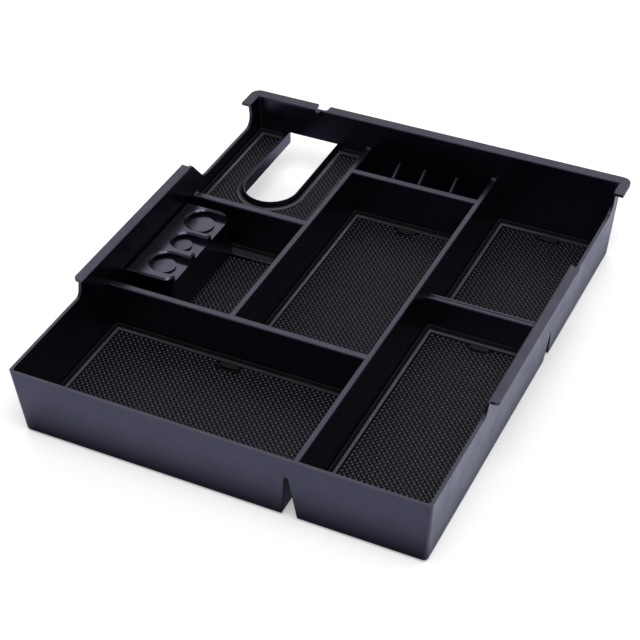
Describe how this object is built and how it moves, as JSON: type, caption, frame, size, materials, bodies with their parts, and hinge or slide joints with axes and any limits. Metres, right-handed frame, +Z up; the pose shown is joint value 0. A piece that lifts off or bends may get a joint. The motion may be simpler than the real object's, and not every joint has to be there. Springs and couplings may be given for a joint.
{
  "type": "console organizer tray",
  "caption": "Open moulded tray for a vehicle console: sloping walls, double-walled dividers, flanged rear rim, cable slot, card fins, loose coin holder and rubber mats.",
  "frame": {"origin": "centre of the tub in plan, on the plane of its underside", "axes": "+Z up, +Y from the plain front wall to the flanged back wall, +X to the right when seen from the front"},
  "size_m": [0.3024, 0.3531, 0.0612],
  "materials": {
    "shell": "satin black moulded plastic, fine grain",
    "liner": "black rubber with a fine woven pattern"
  },
  "bodies": {
    "root": {"tray_body": "shell", "coin_holder": "shell", "liner_front_left": "liner", "liner_coin": "liner", "liner_slot": "liner", "liner_center": "liner", "liner_rear_right": "liner", "liner_front_right": "liner"}
  },
  "joints": []
}
